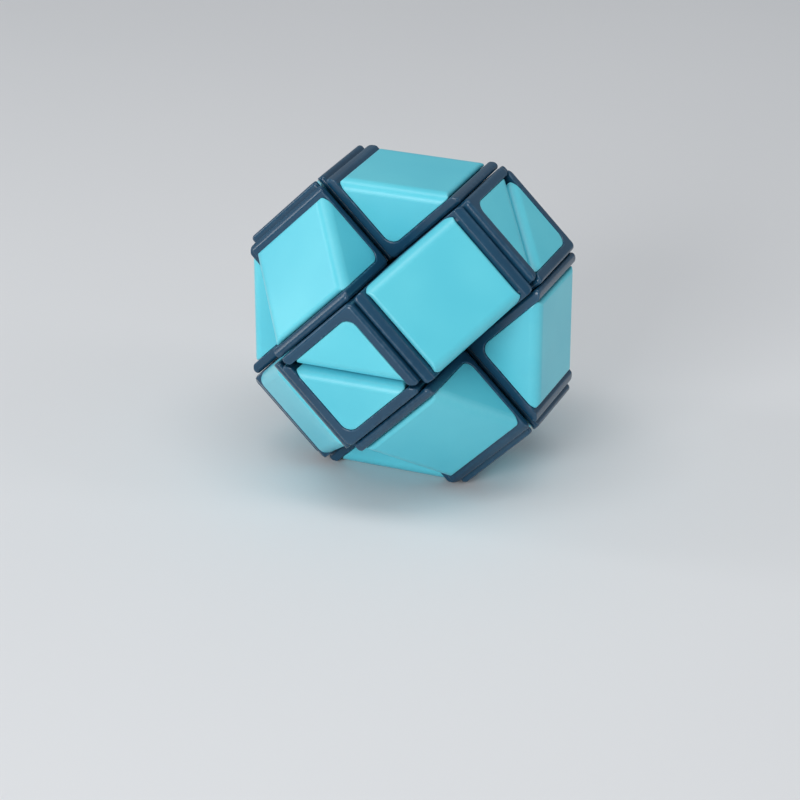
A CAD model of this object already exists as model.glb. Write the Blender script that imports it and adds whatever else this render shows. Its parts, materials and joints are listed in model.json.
import json
import math

import bmesh
import bpy
from mathutils import Matrix, Vector


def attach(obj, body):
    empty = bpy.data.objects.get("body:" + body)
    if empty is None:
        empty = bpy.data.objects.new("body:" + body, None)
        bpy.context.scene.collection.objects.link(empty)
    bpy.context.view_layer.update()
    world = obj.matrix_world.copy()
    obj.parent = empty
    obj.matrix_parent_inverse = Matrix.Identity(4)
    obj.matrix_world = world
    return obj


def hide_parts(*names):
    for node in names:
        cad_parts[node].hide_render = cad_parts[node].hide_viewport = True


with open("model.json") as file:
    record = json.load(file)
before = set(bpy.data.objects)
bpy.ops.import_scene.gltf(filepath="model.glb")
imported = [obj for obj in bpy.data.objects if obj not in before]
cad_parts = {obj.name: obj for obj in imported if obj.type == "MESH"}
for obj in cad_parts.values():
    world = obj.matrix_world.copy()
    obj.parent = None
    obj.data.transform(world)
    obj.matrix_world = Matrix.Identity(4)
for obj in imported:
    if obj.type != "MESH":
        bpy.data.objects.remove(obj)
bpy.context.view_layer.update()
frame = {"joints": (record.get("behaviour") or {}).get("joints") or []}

# Looks of the folding snake puzzle. Each wedge of the chain gets a moulded base and a
# snap-on cap, and each swivel a screw, a spring and a washer, placed where the frame's
# swivels are. Lengths are in millimetres until a mesh is finished, and then in metres.

MM = 0.001

# ---- Sizes of a wedge ----

swivel_at = {joint["name"]: Vector(joint["pos_m"]) for joint in frame["joints"]}
LEG = (swivel_at["swivel_02"] - swivel_at["swivel_01"]).length * math.sqrt(2) / MM
UNIT = LEG / 22                     # small sizes follow the leg
HALF_GAP = 0.15                     # half the gap between two wedges
FACE = 0.06                         # outer face of a joint plate, sprung close to the next one
FIT = 0.05                          # gap between cap and base
SLACK = 0.1                         # gap between the hidden walls of cap and base
CAP_PROUD = 0.15                    # how far the cap stands past the plates' ends
SUNK = 0.2                          # how far a boss, cup or barb is rooted in its wall
PAST = 1.0                          # how far a cut runs past a face

PLATE = 2.0                         # thickness of a joint plate
WIDTH = LEG - 2 * HALF_GAP          # width of a base
CAP_WIDTH = WIDTH - 2 * SLACK       # width of a cap
INNER = HALF_GAP + PLATE            # inner face of a joint plate
SEAT = INNER + FIT                  # where the cap starts
LONG_LINE = LEG - HALF_GAP * math.sqrt(2)           # x + y on the cap's long face
BASE_LINE = LONG_LINE - CAP_PROUD * math.sqrt(2)    # x + y on the plates' ends
DEPTH = LONG_LINE / math.sqrt(2)                    # from the right-angle edge to the long face

HEEL = 1.3                          # rounding of the right-angle edge
HEEL_LEAST = 0.3                    # the same, where the lips have curved it away
LIP = 0.8                           # rounding of the plates' outer lips
RIM = 0.28                          # rounding of the plates' edges beside the cap
PLATE_CORNER = 2.2                  # corner radius of the square plates
PLATE_TIP = 0.7                     # rounding of the plates' ends
CORNER_BLEND = 0.25                 # how softly those ends run into the corners
FOLD = 2.4                          # rounding of the cap's folds
CAP_CORNER = 2.4                    # rounding of its right-angle corners
CAP_TIP = 0.8                       # rounding of its sharp corners
CAP_EDGE = 0.22                     # rounding of its edges beside the base
CAP_WALL = 1.3                      # thickness of its walls
CHEEK = 1.1 * UNIT                  # inner side walls of the base
SNAP = LEG * 0.32                   # where the snap barbs sit, along x and y
BARB = Vector((2.0, 0.75)) * UNIT   # half the length and width of a barb
BARB_HEIGHT = 1.0                   # height of a barb's block, most of it inside the wall
BARB_PLAY = 0.2 * UNIT              # gap between a barb and its window

# ---- Sizes of a swivel, along its axis from the middle of the gap ----

SPIGOT = 3.0                        # radius of the spigot
RUNNING = 0.15                      # clearance round it
BORE = SPIGOT + RUNNING
SPIGOT_END = HALF_GAP + 0.4 * PLATE     # how far past the middle of the gap it reaches
CUP_RADIUS = BORE + 1.1 * UNIT
CUP_FLOOR = INNER + 0.65 * UNIT     # where the spring stands
CUP_END = CUP_FLOOR + 1.8 * UNIT
BOSS_RADIUS = 2.5 * UNIT
BOSS_END = 5.9 * UNIT
END_EDGE = 0.2                      # rounding round the ends of cups and bosses
SPIGOT_EDGE = 0.15                  # rounding round the end of the spigot
SHANK = 1.2 * UNIT                  # radius of the screw
SCREW_END = 5.2 * UNIT              # how far past the middle of the gap the screw reaches
SCREW_ROOM = 0.3                    # room round the screw and past its end
PITCH = 0.9 * UNIT                  # of the screw's thread
THREAD = 0.22                       # depth of the thread, as a share of the shank
THREAD_START = -0.6                 # the thread runs from here to the screw's end
SPRING_LENGTH = 2.0 * UNIT
SPRING_RADIUS = 2.35 * UNIT         # to the middle of its wire
SPRING_WIRE = 0.42 * UNIT           # diameter of its wire
SPRING_TURNS = 3
WASHER_LOW = CUP_FLOOR + SPRING_LENGTH + 2 * FIT
WASHER = 0.4 * UNIT                 # thickness of the washer
WASHER_RADIUS = 2.85 * UNIT
WASHER_BORE = SHANK + 1.5 * SLACK
HEAD_LOW = WASHER_LOW + WASHER + FIT
HEAD = 1.15 * UNIT                  # height of the screw's head
HEAD_RADIUS = 2.3 * UNIT
STEEL_EDGE = 0.1                    # rounding of the washer, and chamfer under the head
END_RECESS = 0.5 * UNIT             # depth of the recess in the chain's two end faces

# Quarter turns between one wedge and the next, which fold the chain into its ball: 1 and 3
# turn opposite ways.
TWISTS = [3, 3, 1, 3, 1, 1, 3, 1] * 3
COUNT = len(TWISTS)


# ---- Where each wedge sits ----

def columns(x, y, z, at):
    """The matrix whose axes and origin these are."""
    return Matrix((
        (x[0], y[0], z[0], at[0]),
        (x[1], y[1], z[1], at[1]),
        (x[2], y[2], z[2], at[2]),
        (0, 0, 0, 1)))


BALL_CENTRE = Vector((0, 0, (LEG * math.sqrt(2) - HALF_GAP) * MM))


def wedge_places():
    """The place of each wedge's own frame: its right-angle edge is on Z, its entry plate
    faces -X and its exit plate -Y."""
    slant = math.sqrt(1 / 2)
    stand_up = columns((0, -1, 0), (slant, 0, slant), (-slant, 0, slant), BALL_CENTRE)
    cell, way_in, way_out = Vector((0, 0, 1)), Vector((1, 0, 0)), Vector((0, 1, 0))
    places = []
    for twist in TWISTS:
        across = way_in.cross(way_out)
        edge = (cell - way_in / 2 + way_out / 2) * LEG * MM
        places.append(stand_up @ columns(way_in, -way_out, -across, edge))
        cell = cell + way_out
        way_in, way_out = way_out, across if twist == 1 else -across
    return places


AT_ENTRY = Matrix.Translation((0, LEG / 2, 0)) @ Matrix.Rotation(math.pi / 2, 4, "Y")
AT_EXIT = Matrix.Translation((LEG / 2, 0, 0)) @ Matrix.Rotation(-math.pi / 2, 4, "X")


# ---- Mesh tools ----

SAME = 1e-5         # points closer than this become one
SHARP = 50          # degrees from which an edge is shown sharp
ROUND_STEPS = 48    # sides of what is turned
TIGHT = 3.0         # curvature, in 1/mm, that counts as a full edge


def loft(rings, ends=True):
    """A mesh through rings of points. Its ends are filled, or else it closes on itself."""
    work = bmesh.new()
    rows = [[work.verts.new(point) for point in ring] for ring in rings]
    count = len(rows[0])
    pairs = list(zip(rows, rows[1:])) + ([] if ends else [(rows[-1], rows[0])])
    for low, high in pairs:
        for i in range(count):
            j = (i + 1) % count
            work.faces.new((low[i], low[j], high[j], high[i]))
    if ends:
        work.faces.new(rows[0][::-1])
        work.faces.new(rows[-1])
    bmesh.ops.remove_doubles(work, verts=work.verts, dist=SAME)
    bmesh.ops.recalc_face_normals(work, faces=work.faces)
    mesh = bpy.data.meshes.new("work")
    work.to_mesh(mesh)
    work.free()
    return mesh


def moved(mesh, matrix):
    """A copy of the mesh, moved by the matrix."""
    copy = mesh.copy()
    copy.transform(matrix)
    return copy


def carved(mesh, add=(), cut=()):
    """The mesh with others added to it and cut out of it, as one clean surface."""
    scene = bpy.context.scene.collection
    body = bpy.data.objects.new("work", mesh)
    scene.objects.link(body)
    tools = []
    for operation, others in (("UNION", add), ("DIFFERENCE", cut)):
        for other in others:
            tool = bpy.data.objects.new("tool", other)
            scene.objects.link(tool)
            tools.append(tool)
            boolean = body.modifiers.new("boolean", "BOOLEAN")
            boolean.operation = operation
            boolean.object = tool
            boolean.solver = "EXACT"
    bpy.context.view_layer.update()
    result = bpy.data.meshes.new_from_object(
        body.evaluated_get(bpy.context.evaluated_depsgraph_get()))
    for leftover in [body, *tools]:
        bpy.data.objects.remove(leftover)
    return result


def quarter(steps):
    """The angles of a quarter turn in so many steps."""
    return [math.pi / 2 * i / steps for i in range(steps + 1)]


def rounded(corners, radii, steps):
    """A polygon's points with an arc of so many steps at each corner."""
    points = []
    for i, (corner, radius) in enumerate(zip(corners, radii)):
        to_last = (corners[i - 1] - corner).normalized()
        to_next = (corners[(i + 1) % len(corners)] - corner).normalized()
        half = to_last.angle(to_next) / 2
        centre = corner + (to_last + to_next).normalized() * radius / math.sin(half)
        start = corner + to_last * radius / math.tan(half) - centre
        end = corner + to_next * radius / math.tan(half) - centre
        for step in range(steps + 1):
            points.append(centre + start.slerp(end, step / steps).normalized() * radius)
    return points


def arc_inset(depth, radius):
    """How far an edge of that radius has curved away, so deep under the face it leads to."""
    if depth >= radius:
        return 0.0
    return radius - math.sqrt(max(0.0, radius ** 2 - (radius - depth) ** 2))


def arc_depths(*radii):
    """Depths under a face at which edges of each (radius, steps) need rings, deepest first."""
    depths = {0.0}
    for radius, steps in radii:
        depths |= {round(radius * (1 - math.sin(turn)), 4) for turn in quarter(steps)}
    return sorted(depths, reverse=True)


def both_sides(outline, width, depths, inset):
    """Rings of an outline from -width/2 to width/2. The first and last lie within a flat end."""
    top = [outline(depth, 0.0, width / 2 - depth) for depth in depths]
    top.append(outline(0.0, inset, width / 2))
    bottom = [[Vector((p.x, p.y, -p.z)) for p in ring] for ring in reversed(top)]
    return bottom + top


def turned(profile):
    """A solid of revolution about Z through (radius, height) points, from low to high."""
    angles = [2 * math.pi * i / ROUND_STEPS for i in range(ROUND_STEPS)]
    return loft([[Vector((r * math.cos(a), r * math.sin(a), z)) for a in angles]
                 for r, z in profile])


def rod(radius, low, high, edge=0.0):
    """A round bar, whose two end edges may be rounded."""
    if not edge:
        return turned([(radius, low), (radius, high)])
    turn = quarter(5)
    low_arc = [(radius - edge * (1 - math.sin(t)), low + edge * (1 - math.cos(t))) for t in turn]
    high_arc = [(radius - edge * (1 - math.cos(t)), high - edge * (1 - math.sin(t))) for t in turn]
    return turned(low_arc + high_arc)


def block(low, high, matrix=Matrix.Identity(4)):
    """A square-cut tool between two corners."""
    ring = [(low[0], low[1]), (high[0], low[1]), (high[0], high[1]), (low[0], high[1])]
    return moved(loft([[Vector((x, y, z)) for x, y in ring] for z in (low[2], high[2])]), matrix)


def mark_edges(mesh):
    """Stores how tightly the surface curves at each point, from 0 on a flat to 1 at an edge."""
    work = bmesh.new()
    work.from_mesh(mesh)
    curve = {}
    for edge in work.edges:
        reach = sum(face.calc_area() for face in edge.link_faces) / 2
        curve[edge] = edge.calc_face_angle(0.0) * edge.calc_length() / max(reach, 1e-6)
    values = [max((curve[edge] for edge in vert.link_edges), default=0.0) / TIGHT
              for vert in work.verts]
    work.free()
    marks = mesh.attributes.new("edge", "FLOAT", "POINT")
    marks.data.foreach_set("value", [min(1.0, value) for value in values])


def finished(mesh, name, material):
    """Turns a mesh in millimetres into one that a piece can show."""
    mesh.name = name
    mark_edges(mesh)
    mesh.transform(Matrix.Scale(MM, 4))
    mesh.shade_smooth()
    mesh.set_sharp_from_angle(angle=math.radians(SHARP))
    mesh.materials.clear()
    mesh.materials.append(material)
    return mesh


def place(name, mesh, body, node, slot, at):
    """Shows a mesh as a piece that rides on a body and stands for a node."""
    piece = bpy.data.objects.new(name, moved(mesh, at))
    bpy.context.scene.collection.objects.link(piece)
    normals = piece.modifiers.new("face normals", "WEIGHTED_NORMAL")
    normals.keep_sharp = True
    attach(piece, body)
    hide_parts(node)
    return piece


# ---- Cap ----

def snap_block(z, half_size, half_height):
    """A block where a snap barb sits, along the long face: the barb itself, or its window."""
    at = Matrix.Translation((SNAP, SNAP, z)) @ Matrix.Rotation(-math.pi / 4, 4, "Z")
    corner = (*half_size, half_height)
    return block([-length for length in corner], corner, at)


def cap_outline(depth, inset, z):
    """The cap's outline at a height, where both folds and the seat's edges curve away."""
    side = SEAT + arc_inset(depth, CAP_EDGE) + inset
    fold = arc_inset(depth, FOLD)
    line = LONG_LINE - math.sqrt(2) * (fold + inset)
    corners = [Vector((side, side)), Vector((line - side, side)), Vector((side, line - side))]
    tip = max(CAP_TIP - fold, CAP_EDGE)
    radii = [CAP_CORNER - side + SEAT, tip, tip]
    return [Vector((x, y, z)) for x, y in rounded(corners, radii, steps=9)]


def cap_mesh():
    """The hollow cap: a long face between two triangles, open towards the base."""
    flat_ring = 1.2     # how far inside a triangle's outline its flat part gets a ring
    outer = loft(both_sides(cap_outline, CAP_WIDTH, arc_depths((FOLD, 12), (CAP_EDGE, 4)),
                            flat_ring))
    half = CAP_WIDTH / 2 - CAP_WALL
    corners = [Vector((-LEG, -half)), Vector((DEPTH - CAP_WALL, -half)),
               Vector((DEPTH - CAP_WALL, half)), Vector((-LEG, half))]
    fold, square = FOLD - CAP_WALL, 0.01
    channel = rounded(corners, [square, fold, fold, square], steps=6)
    diagonal = Matrix.Rotation(math.pi / 4, 4, "Z")
    hollow = loft([[diagonal @ Vector((out, along, z)) for out, z in channel]
                   for along in (-LEG, LEG)])
    barbs = [snap_block(side * (half + SUNK), BARB, BARB_HEIGHT / 2) for side in (-1, 1)]
    return carved(carved(outer, cut=[hollow]), add=barbs)


# ---- Base ----

def soft_min(a, b, blend):
    """The smaller of two lengths, blended where they meet."""
    share = min(1.0, max(0.0, 0.5 + 0.5 * (b - a) / blend))
    return b + (a - b) * share - blend * share * (1 - share)


def plate_end(x, low, high, z):
    """How far a joint plate reaches at distance x through its thickness, from low to high."""
    middle = low + PLATE_TIP
    slope = BASE_LINE - x
    if x < middle + PLATE_TIP * math.sqrt(1 / 2):
        bulge = math.sqrt(max(0.0, PLATE_TIP ** 2 - (x - middle) ** 2))
        slope = BASE_LINE - middle - PLATE_TIP * math.sqrt(2) + bulge
    corner_start = WIDTH / 2 - PLATE_CORNER
    over = max(0.0, abs(z) - corner_start)
    corner = LEG - HALF_GAP - PLATE_CORNER + math.sqrt(max(0.0, PLATE_CORNER ** 2 - over ** 2))
    return soft_min(slope, corner, CORNER_BLEND) - arc_inset(high - x, RIM)


def base_outline(depth, inset, z):
    """The outline of both joint plates at a height, with their lips curving away."""
    low = FACE + arc_inset(depth, LIP) + inset
    high = INNER - arc_inset(depth, RIM) - inset
    steps = 10
    across = [low + (high - low) * (1 - math.cos(math.pi * i / steps)) / 2
              for i in range(steps + 1)]
    end = [(x, plate_end(x, low, high, z) - arc_inset(depth, RIM) - inset) for x in across]
    heel = max(HEEL - (low - FACE), HEEL_LEAST)
    middle = low + heel
    turns = quarter(steps)
    outer = [(middle - heel * math.cos(t), middle - heel * math.sin(t)) for t in turns]
    corner = CAP_CORNER + FIT + INNER - high
    middle = high + corner
    inside = [(middle - corner * math.sin(t), middle - corner * math.cos(t)) for t in turns]
    points = outer + [(y, x) for x, y in end] + inside + end[::-1]
    return [Vector((x, y, z)) for x, y in points]


def cheeks():
    """The two inner walls that carry the cap, and the tools that cut their snap windows."""
    outside = CAP_WIDTH / 2 - CAP_WALL - SLACK
    low = INNER - 2 * SUNK
    high = LONG_LINE - (CAP_WALL + 2.5 * SLACK) * math.sqrt(2) - low
    triangle = [(low, low), (high, low), (low, high)]
    window = [length + BARB_PLAY for length in BARB]
    walls, windows = [], []
    for side in (-1, 1):
        levels = sorted((side * (outside - CHEEK), side * outside))
        walls.append(loft([[Vector((x, y, z)) for x, y in triangle] for z in levels]))
        windows.append(snap_block(side * (outside - CHEEK / 2), window, CHEEK))
    return walls, windows


def base_mesh(kind, swivels, blank_ends):
    """A base whose swivels are cups or bosses. A blank end has a round recess instead."""
    flat_ring = 0.15    # how far inside the plates' side edges their flat part gets a ring
    plates = loft(both_sides(base_outline, WIDTH,
                             arc_depths((PLATE_CORNER, 8), (LIP, 8), (RIM, 4)), flat_ring))
    add, cut = cheeks()
    for at in swivels:
        if kind == "cup":
            solids = [rod(CUP_RADIUS, INNER - SUNK, CUP_END, END_EDGE)]
            bores = [rod(BORE, -PAST, INNER),
                     rod(SHANK + SCREW_ROOM, INNER - SLACK, CUP_FLOOR + PAST),
                     rod(BORE, CUP_FLOOR, CUP_FLOOR + LEG / 2)]
        else:
            solids = [rod(BOSS_RADIUS, INNER - SUNK, BOSS_END, END_EDGE),
                      rod(SPIGOT, -SPIGOT_END, INNER - SUNK - SLACK, SPIGOT_EDGE)]
            bores = [rod(SHANK + SLACK, -LEG / 4, SCREW_END + SCREW_ROOM)]
        add += [moved(solid, at) for solid in solids]
        cut += [moved(bore, at) for bore in bores]
    cut += [moved(rod(SPIGOT, -PAST, HALF_GAP + END_RECESS), at) for at in blank_ends]
    return carved(plates, add, cut)


# ---- Swivel hardware ----

def screw_mesh():
    """A pan-head screw with a cross in its head and a thread along its end."""
    around, along = 24, 10              # points round the thread, and rows to each pitch
    dome = 0.55 * HEAD                  # how much of the head is domed
    point, blunt = 1.2 * UNIT, 0.3      # length of the tapered end, and how blunt it is
    neck, root = 0.95 * SHANK, 0.3      # where the head meets the shank
    arm, half, slot = 0.58 * HEAD_RADIUS, 0.3 * UNIT, 0.7 * UNIT    # of the cross
    profile = [(neck, HEAD_LOW - root), (neck, HEAD_LOW),
               (HEAD_RADIUS - STEEL_EDGE, HEAD_LOW), (HEAD_RADIUS, HEAD_LOW + STEEL_EDGE)]
    profile += [(HEAD_RADIUS - dome * (1 - math.cos(t)),
                 HEAD_LOW + HEAD - dome * (1 - math.sin(t))) for t in quarter(8)]
    low, high = HEAD_LOW + HEAD - slot, HEAD_LOW + 2 * HEAD
    cross = [block((-arm, -half, low), (arm, half, high)),
             block((-half, -arm, low), (half, arm, high))]
    rings = []
    for row in range(round((HEAD_LOW + SCREW_END) / PITCH * along) + 1):
        z = -SCREW_END + row * PITCH / along
        taper = min(1.0, (z + SCREW_END + blunt) / point)
        ring = []
        for i in range(around):
            wave = abs(((z / PITCH - i / around) % 1) * 2 - 1) if z < THREAD_START else 0.0
            out = SHANK * taper * (1 - THREAD * wave)
            angle = 2 * math.pi * i / around
            ring.append(Vector((out * math.cos(angle), out * math.sin(angle), z)))
        rings.append(ring)
    return carved(carved(turned(profile), cut=cross), add=[loft(rings)])


def spring_mesh():
    """Round wire wound in a helix, with closed ends."""
    steps, sides = 32, 12               # rings to each turn, and sides of the wire
    rise = SPRING_LENGTH - SPRING_WIRE - 2 * FIT
    rings = []
    for i in range(SPRING_TURNS * steps + 1):
        share = i / (SPRING_TURNS * steps)
        climb = rise * share * share * (3 - 2 * share)
        angle = 2 * math.pi * SPRING_TURNS * share
        ring = []
        for j in range(sides):
            side = 2 * math.pi * j / sides
            out = SPRING_RADIUS + SPRING_WIRE / 2 * math.cos(side)
            z = CUP_FLOOR + FIT + climb + SPRING_WIRE / 2 * (1 + math.sin(side))
            ring.append(Vector((out * math.cos(angle), out * math.sin(angle), z)))
        rings.append(ring)
    return loft(rings)


def washer_mesh():
    """A flat ring with rounded edges."""
    low, high = WASHER_LOW, WASHER_LOW + WASHER
    section = rounded([Vector((WASHER_BORE, low)), Vector((WASHER_RADIUS, low)),
                       Vector((WASHER_RADIUS, high)), Vector((WASHER_BORE, high))],
                      [STEEL_EDGE] * 4, steps=4)
    around = 64
    rings = []
    for i in range(around):
        angle = 2 * math.pi * i / around
        rings.append([Vector((r * math.cos(angle), r * math.sin(angle), z)) for r, z in section])
    return loft(rings, ends=False)


def merged(meshes):
    """Several meshes as one."""
    work = bmesh.new()
    for mesh in meshes:
        work.from_mesh(mesh)
    mesh = bpy.data.meshes.new("work")
    work.to_mesh(mesh)
    work.free()
    return mesh


# ---- Materials ----

def linear(hex_colour):
    """An sRGB hex colour as the linear RGBA that a shader takes."""
    shares = [int(hex_colour[i:i + 2], 16) / 255 for i in (1, 3, 5)]
    return (*[s / 12.92 if s <= 0.04045 else ((s + 0.055) / 1.055) ** 2.4 for s in shares], 1)


class Shader:
    """A material being built, node by node."""

    def __init__(self, name):
        self.material = bpy.data.materials.new(name)
        self.material.use_nodes = True
        self.tree = self.material.node_tree
        self.surface = self.tree.nodes["Principled BSDF"]

    def node(self, kind, inputs, **settings):
        """A new node, with its inputs set or linked."""
        made = self.tree.nodes.new("ShaderNode" + kind)
        for key, value in settings.items():
            setattr(made, key, value)
        for key, value in inputs.items():
            self.set(made, key, value)
        return made

    def set(self, node, key, value):
        """Links an input to a socket, or sets it to a value."""
        if isinstance(value, bpy.types.NodeSocket):
            self.tree.links.new(value, node.inputs[key])
        else:
            node.inputs[key].default_value = value

    def noise(self, where, scale, detail=2.0):
        """A noise of so many waves per metre."""
        return self.node("TexNoise", {"Vector": where, "Scale": scale, "Detail": detail}).outputs[0]

    def spread(self, value, low, high, start=0.0, end=1.0):
        """A value between start and end, spread from low to high and kept within them."""
        return self.node("MapRange", {"Value": value, "From Min": start, "From Max": end,
                                      "To Min": low, "To Max": high}).outputs[0]

    def times(self, a, b):
        return self.node("Math", {0: a, 1: b}, operation="MULTIPLY").outputs[0]

    def plus(self, a, b):
        return self.node("Math", {0: a, 1: b}, operation="ADD").outputs[0]

    def mix(self, share, a, b):
        """A colour between a, at a share of 0, and b, at 1."""
        return self.node("Mix", {0: share, 6: a, 7: b}, data_type="RGBA").outputs[2]

    def bump(self, height, distance, below=None):
        """A relief of that distance, in metres, over another relief if one is given."""
        inputs = {"Height": height, "Distance": distance, "Strength": 1.0}
        if below is not None:
            inputs["Normal"] = below
        return self.node("Bump", inputs).outputs[0]

    def lot(self):
        """A number from 0 to 1 that differs from piece to piece."""
        return self.node("ObjectInfo", {}).outputs["Random"]

    def own_place(self):
        """A point's place in its own piece, shifted so that no two pieces look alike."""
        place = self.node("TexCoord", {}).outputs["Object"]
        return self.node("VectorMath", {0: place, 1: self.lot()}, operation="ADD").outputs[0]


# Patterns of the plastics, in waves per metre
TONE = 55.0
GLOSS = 130.0
WAVINESS = 190.0
WEAR = 900.0
GRAIN = 3200.0

# How strong they are
NOISE_RANGE = (0.3, 0.7)        # where nearly all of a noise's values lie
WEAR_RANGE = (0.42, 0.68)       # from unworn to fully worn
LOT_SHIFT = 0.03                # of brightness, from one piece to the next
GLOSS_SHIFT = 0.02              # of roughness, over a piece
WAVE_DEPTH = 12e-6              # in metres
WORN_COLOUR = 0.18              # how much rubbed edges take the worn colour
WORN_ROUGH = 0.10               # how much duller they are


def moulded_plastic(name, colour, deep, worn, roughness, grain):
    """Moulded ABS: slow shifts of tone, a fine grain, and edges rubbed lighter and duller."""
    shader = Shader(name)
    where = shader.own_place()
    tone = shader.spread(shader.noise(where, TONE), 0.0, 1.0, *NOISE_RANGE)
    body = shader.mix(tone, linear(colour), linear(deep))
    bright = shader.spread(shader.lot(), 1 - LOT_SHIFT, 1 + LOT_SHIFT)
    body = shader.node("HueSaturation", {"Value": bright, "Color": body}).outputs[0]

    edge = shader.node("Attribute", {}, attribute_name="edge").outputs["Fac"]
    patchy = shader.spread(shader.noise(where, WEAR, 4.0), 0.0, 1.0, *WEAR_RANGE)
    rubbed = shader.times(edge, patchy)
    body = shader.mix(shader.times(rubbed, WORN_COLOUR), body, linear(worn))

    rough = shader.spread(shader.noise(where, GLOSS), roughness - GLOSS_SHIFT,
                          roughness + GLOSS_SHIFT, *NOISE_RANGE)
    rough = shader.plus(rough, shader.times(rubbed, WORN_ROUGH))
    waves = shader.bump(shader.noise(where, WAVINESS, 1.0), WAVE_DEPTH)
    normal = shader.bump(shader.noise(where, GRAIN, 1.0), grain, below=waves)
    shader.set(shader.surface, "Base Color", body)
    shader.set(shader.surface, "Roughness", rough)
    shader.set(shader.surface, "Normal", normal)
    shader.set(shader.surface, "IOR", 1.5)
    return shader.material


def plated_steel(name):
    """Zinc-plated steel: a bright skin with fine marks and a little dulling."""
    clouds, mark_scale, mark_depth = 700.0, (400.0, 400.0, 9000.0), 2e-6
    shader = Shader(name)
    where = shader.own_place()
    cloud = shader.spread(shader.noise(where, clouds, 4.0), 0.0, 1.0, 0.35, 0.7)
    marks = shader.node("Mapping", {"Vector": where, "Scale": mark_scale}).outputs[0]
    shader.set(shader.surface, "Base Color",
               shader.mix(cloud, linear("#c9ccd0"), linear("#9fa3a6")))
    shader.set(shader.surface, "Metallic", 1.0)
    shader.set(shader.surface, "Roughness", shader.spread(cloud, 0.24, 0.42))
    shader.set(shader.surface, "Normal", shader.bump(shader.noise(marks, 1.0), mark_depth))
    return shader.material


def pale_floor(name):
    """A matt floor with very slow, faint shifts of tone."""
    shader = Shader(name)
    shift = shader.noise(shader.own_place(), 6.0)
    shader.set(shader.surface, "Base Color",
               shader.mix(shift, linear("#e6e7e8"), linear("#dfe0e2")))
    shader.set(shader.surface, "Roughness", 0.75)
    return shader.material


cap_plastic = moulded_plastic(
    "cap_plastic", colour="#62cddd", deep="#56c4d7", worn="#a9eef6", roughness=0.30, grain=0.6e-6)
base_plastic = moulded_plastic(
    "base_plastic", colour="#194661", deep="#143b54", worn="#5f88a3", roughness=0.20, grain=0.8e-6)
steel = plated_steel("zinc_plated_steel")


# ---- The pieces ----

cap = finished(cap_mesh(), "cap", cap_plastic)
bases = {
    "first": finished(base_mesh("boss", [AT_EXIT], [AT_ENTRY]), "first_base", base_plastic),
    "boss": finished(base_mesh("boss", [AT_ENTRY, AT_EXIT], []), "boss_base", base_plastic),
    "cup": finished(base_mesh("cup", [AT_ENTRY, AT_EXIT], []), "cup_base", base_plastic),
    "last": finished(base_mesh("cup", [AT_ENTRY], [AT_EXIT]), "last_base", base_plastic),
}
hardware = {"screws": screw_mesh(), "springs": spring_mesh(), "washers": washer_mesh()}
hardware_pairs = {
    what: finished(merged([moved(mesh, AT_ENTRY), moved(mesh, AT_EXIT)]), what, steel)
    for what, mesh in hardware.items()}
hardware_last = {
    what: finished(moved(mesh, AT_ENTRY), "last_" + what, steel)
    for what, mesh in hardware.items()}

# Wedges 01, 03 and so on have bosses. Wedges 02, 04 and so on have cups and the hardware.
chain_ends = {0: "first", COUNT - 1: "last"}
for index, at in enumerate(wedge_places()):
    wedge = f"wedge_{index + 1:02d}"
    kind = chain_ends.get(index, ("boss", "cup")[index % 2])
    place(wedge + "_moulded_base", bases[kind], wedge, wedge + "_base", "base", at)
    place(wedge + "_moulded_cap", cap, wedge, wedge + "_cap", "cap", at)
    if index % 2:
        for what, mesh in (hardware_last if kind == "last" else hardware_pairs).items():
            place(f"{wedge}_{what}", mesh, wedge, wedge + "_swivels", "steel", at)


# ---- Camera, floor and light ----

def from_centre(azimuth, elevation, distance):
    """A point that far from the ball's centre. Azimuth 0 is in front of the square face."""
    azimuth, elevation = math.radians(azimuth), math.radians(elevation)
    way = Vector((math.sin(azimuth) * math.cos(elevation),
                  -math.cos(azimuth) * math.cos(elevation), math.sin(elevation)))
    return BALL_CENTRE + way * distance


VIEW = (22.27, 25.33)       # camera's azimuth and elevation, in degrees
VIEW_DISTANCE = 25.0        # in wedge sides
VIEW_SHIFT = Vector((-0.114, -0.796, 0))    # right and up, in wedge sides
LENS = 122.2                # in millimetres, on a sensor 36 mm wide


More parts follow.
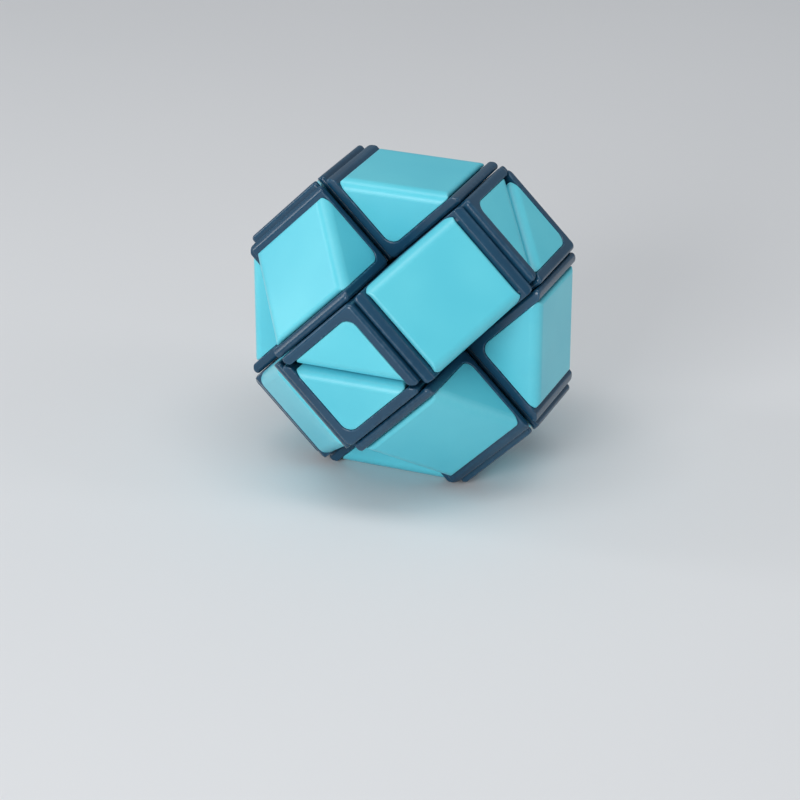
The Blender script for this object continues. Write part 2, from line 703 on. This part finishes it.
def add_camera():
    """A long lens, a little to the right of the square face and above it."""
    camera = bpy.data.objects.new("camera", bpy.data.cameras.new("camera"))
    bpy.context.scene.collection.objects.link(camera)
    away = from_centre(*VIEW, VIEW_DISTANCE * LEG * MM)
    camera.rotation_euler = (away - BALL_CENTRE).to_track_quat("Z", "Y").to_euler()
    turn = camera.rotation_euler.to_matrix()
    camera.location = away + turn @ VIEW_SHIFT * LEG * MM
    camera.data.sensor_width = 36
    camera.data.lens = LENS
    bpy.context.scene.camera = camera


def add_light(name, azimuth, elevation, distance, size, watts):
    """A rectangular lamp that faces the ball. Its distance and size are in metres."""
    lamp = bpy.data.lights.new(name, "AREA")
    lamp.shape = "RECTANGLE"
    lamp.size, lamp.size_y = size
    lamp.energy = watts
    light = bpy.data.objects.new(name, lamp)
    bpy.context.scene.collection.objects.link(light)
    light.location = from_centre(azimuth, elevation, distance)
    light.rotation_euler = (light.location - BALL_CENTRE).to_track_quat("Z", "Y").to_euler()


def add_floor():
    """A slab whose top is the level that the ball stands on."""
    half, thick = 2.0, 0.01
    square = ((-half, -half), (half, -half), (half, half), (-half, half))
    floor = bpy.data.objects.new("floor", loft(
        [[Vector((x, y, z)) for x, y in square] for z in (-thick, 0.0)]))
    floor.data.materials.append(pale_floor("floor"))
    bpy.context.scene.collection.objects.link(floor)


def add_world():
    """A soft, faintly blue room light."""
    world = bpy.data.worlds.new("world")
    world.use_nodes = True
    background = world.node_tree.nodes["Background"]
    background.inputs["Color"].default_value = (0.86, 0.9, 0.95, 1)
    background.inputs["Strength"].default_value = 0.36
    bpy.context.scene.world = world


add_camera()
add_floor()
add_world()
add_light("key", azimuth=-8, elevation=17, distance=0.9, size=(0.45, 0.45), watts=4.4)
add_light("left", azimuth=-80, elevation=8, distance=0.7, size=(0.12, 0.8), watts=1.2)
add_light("right", azimuth=95, elevation=15, distance=0.8, size=(0.15, 0.8), watts=0.9)
add_light("overhead", azimuth=10, elevation=80, distance=0.8, size=(0.9, 0.3), watts=2.6)
bpy.context.scene.view_settings.view_transform = "Standard"     # keeps the colours as given
